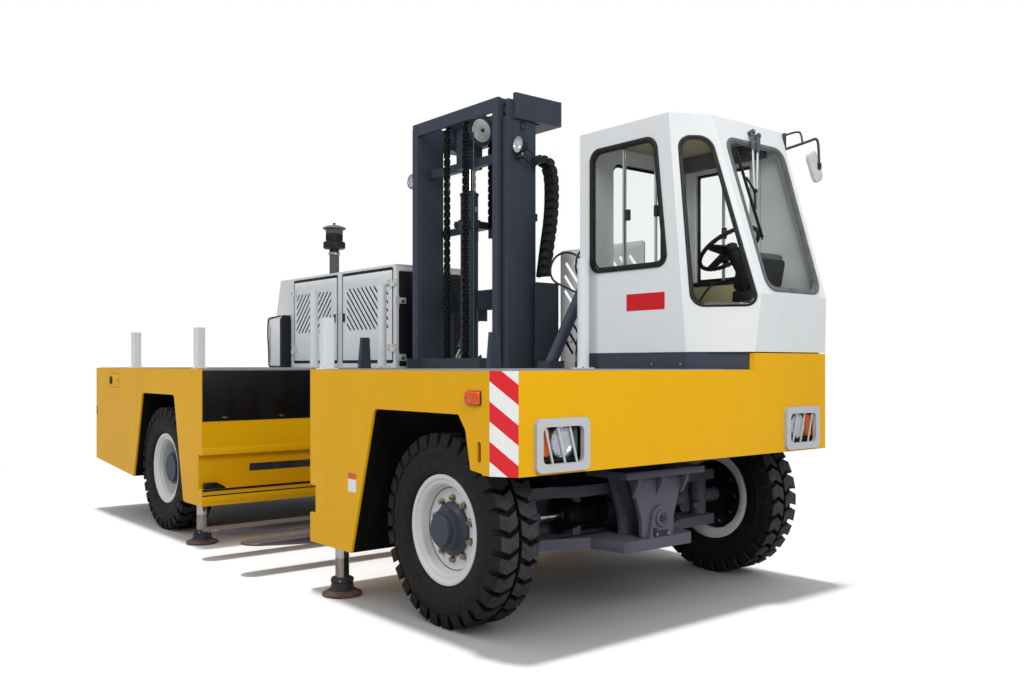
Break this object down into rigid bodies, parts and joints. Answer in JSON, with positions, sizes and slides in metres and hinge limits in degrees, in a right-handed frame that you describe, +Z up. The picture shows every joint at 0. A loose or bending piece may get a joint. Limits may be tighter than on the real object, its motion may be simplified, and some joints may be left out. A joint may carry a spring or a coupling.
{
  "type": "side loader forklift",
  "caption": "Side loader forklift: flat deck with a mast that reaches out sideways from a well, side cab, engine hood, forks and stabiliser jacks.",
  "frame": {"origin": "on the ground under the middle of the chassis", "axes": "+X forwards towards the cab end, +Y to the machine's left away from the load side, +Z up"},
  "size_m": [6.475, 3.085, 3.55],
  "materials": {
    "yellow_paint": "semi-gloss yellow paint",
    "dark_paint": "satin dark blue-grey paint",
    "grey_paint": "satin light grey paint",
    "rim_paint": "light grey wheel paint",
    "tyre": "worn black rubber",
    "chrome": "polished rod",
    "steel": "worn fork steel",
    "glass": "clear",
    "seat": "black vinyl",
    "trim": "matte black",
    "iron": "rough casting",
    "lamp": "lamp housings"
  },
  "bodies": {
    "chassis": {"rear_section": "yellow_paint", "front_section": "yellow_paint", "main_beam": "yellow_paint", "fuel_tank": "dark_paint", "rear_axle": "dark_paint", "front_axle": "dark_paint", "axle_hanger": "dark_paint", "engine_hood": "grey_paint", "engine_block": "iron", "pre_cleaner": "grey_paint", "deck_box": "grey_paint", "cab_shell": "grey_paint", "cab_glass": "glass", "cab_plinth": "dark_paint", "driver_seat": "seat", "console": "trim", "steering_wheel": "trim", "guard_posts": "grey_paint", "load_stakes": "grey_paint", "guide_wedges": "dark_paint", "headlamp_guards": "grey_paint", "mirror": "trim", "hose_lower": "trim", "hose_upper": "trim", "brace_tube": "dark_paint", "guard_sheet": "grey_paint", "valve_block": "dark_paint"},
    "knuckle_left": {"knuckle_left": "dark_paint"},
    "knuckle_right": {"knuckle_right": "dark_paint"},
    "steering_rod": {"steering_rod": "chrome"},
    "wheel_front_left": {"tyre_front_left": "tyre", "rim_front_left": "rim_paint"},
    "wheel_front_right": {"tyre_front_right": "tyre", "rim_front_right": "rim_paint"},
    "wheel_rear_left": {"tyre_rear_left": "tyre", "rim_rear_left": "rim_paint"},
    "wheel_rear_right": {"tyre_rear_right": "tyre", "rim_rear_right": "rim_paint"},
    "jack_rear": {"jack_leg_rear": "chrome"},
    "jack_front": {"jack_leg_front": "chrome"},
    "hood_door_rear": {"hood_door_rear": "grey_paint"},
    "hood_door_front": {"hood_door_front": "grey_paint"},
    "cab_door": {"cab_door": "grey_paint", "cab_door_glass": "glass"},
    "reach": {"reach_carriage": "dark_paint"},
    "outer_mast": {"outer_mast": "dark_paint", "lift_cylinder": "dark_paint", "chain_back_runs": "iron", "cable_chain": "trim", "work_lights": "lamp"},
    "inner_mast": {"inner_mast": "dark_paint", "crosshead": "dark_paint", "chain_front_runs": "iron"},
    "fork_carriage": {"fork_carriage": "dark_paint", "forks": "steel"},
    "tilt_barrels": {"tilt_barrels": "dark_paint"},
    "tilt_rods": {"tilt_rods": "chrome"}
  },
  "joints": [
    {"name": "steer_left", "type": "hinge", "parent": "chassis", "child": "knuckle_left", "pos_m": [2.543, 0.885, 0.525], "axis": [0, 0, 1], "range_deg": [-38, 38]},
    {"name": "steer_right", "type": "hinge", "parent": "chassis", "child": "knuckle_right", "pos_m": [2.543, -0.885, 0.525], "axis": [0, 0, 1], "range_deg": [-38, 38]},
    {"name": "steering_rod_slide", "type": "slide", "parent": "chassis", "child": "steering_rod", "axis": [0, 1, 0], "range_m": [-0.066, 0.066]},
    {"name": "front_left_spin", "type": "hinge", "parent": "knuckle_left", "child": "wheel_front_left", "pos_m": [2.543, 1.13, 0.525], "axis": [0, 1, 0], "continuous": true},
    {"name": "front_right_spin", "type": "hinge", "parent": "knuckle_right", "child": "wheel_front_right", "pos_m": [2.543, -1.13, 0.525], "axis": [0, 1, 0], "continuous": true},
    {"name": "rear_left_spin", "type": "hinge", "parent": "chassis", "child": "wheel_rear_left", "pos_m": [-1.522, 1.163, 0.525], "axis": [0, 1, 0], "continuous": true},
    {"name": "rear_right_spin", "type": "hinge", "parent": "chassis", "child": "wheel_rear_right", "pos_m": [-1.522, -1.163, 0.525], "axis": [0, 1, 0], "continuous": true},
    {"name": "jack_rear_slide", "type": "slide", "parent": "chassis", "child": "jack_rear", "axis": [0, 0, 1], "range_m": [0, 0.18]},
    {"name": "jack_front_slide", "type": "slide", "parent": "chassis", "child": "jack_front", "axis": [0, 0, 1], "range_m": [0, 0.18]},
    {"name": "hood_door_rear_hinge", "type": "hinge", "parent": "chassis", "child": "hood_door_rear", "pos_m": [-2.624, 0.488, 1.87], "axis": [0, 0, -1], "range_deg": [0, 90]},
    {"name": "hood_door_front_hinge", "type": "hinge", "parent": "chassis", "child": "hood_door_front", "pos_m": [-0.685, 0.488, 1.87], "axis": [0, 0, 1], "range_deg": [0, 90]},
    {"name": "cab_door_hinge", "type": "hinge", "parent": "chassis", "child": "cab_door", "pos_m": [2.077, 1.366, 2.23], "axis": [0, 0, 1], "range_deg": [0, 100]},
    {"name": "mast_reach", "type": "slide", "parent": "chassis", "child": "reach", "axis": [0, -1, 0], "range_m": [0, 1.3]},
    {"name": "mast_tilt", "type": "hinge", "parent": "reach", "child": "outer_mast", "pos_m": [0.302, 0.7, 0.33], "axis": [1, 0, 0], "range_deg": [-4, 3]},
    {"name": "mast_lift", "type": "slide", "parent": "outer_mast", "child": "inner_mast", "axis": [0, 0, 1], "range_m": [0, 1.75], "deforming": ["chain_back_runs"]},
    {"name": "carriage_lift", "type": "slide", "parent": "inner_mast", "child": "fork_carriage", "axis": [0, 0, 1], "range_m": [0, 1.75], "deforming": ["chain_front_runs"]},
    {"name": "tilt_barrel_hinge", "type": "hinge", "parent": "reach", "child": "tilt_barrels", "pos_m": [0.302, 0.9, 1.84], "axis": [1, 0, 0], "range_deg": [-5.25, 6.97]},
    {"name": "tilt_rod_slide", "type": "slide", "parent": "tilt_barrels", "child": "tilt_rods", "axis": [0, -0.4775, -0.8786], "range_m": [-0.0391, 0.0296]}
  ],
  "couplings": [
    {"joint": "steer_right", "follows": "steer_left", "ratio": 1},
    {"joint": "steering_rod_slide", "follows": "steer_left", "m_per_rad": 0.095},
    {"joint": "carriage_lift", "follows": "mast_lift", "ratio": 1},
    {"joint": "tilt_barrel_hinge", "follows": "mast_tilt", "ratio": -1.7165},
    {"joint": "tilt_rod_slide", "follows": "mast_tilt", "m_per_rad": 0.5453}
  ]
}
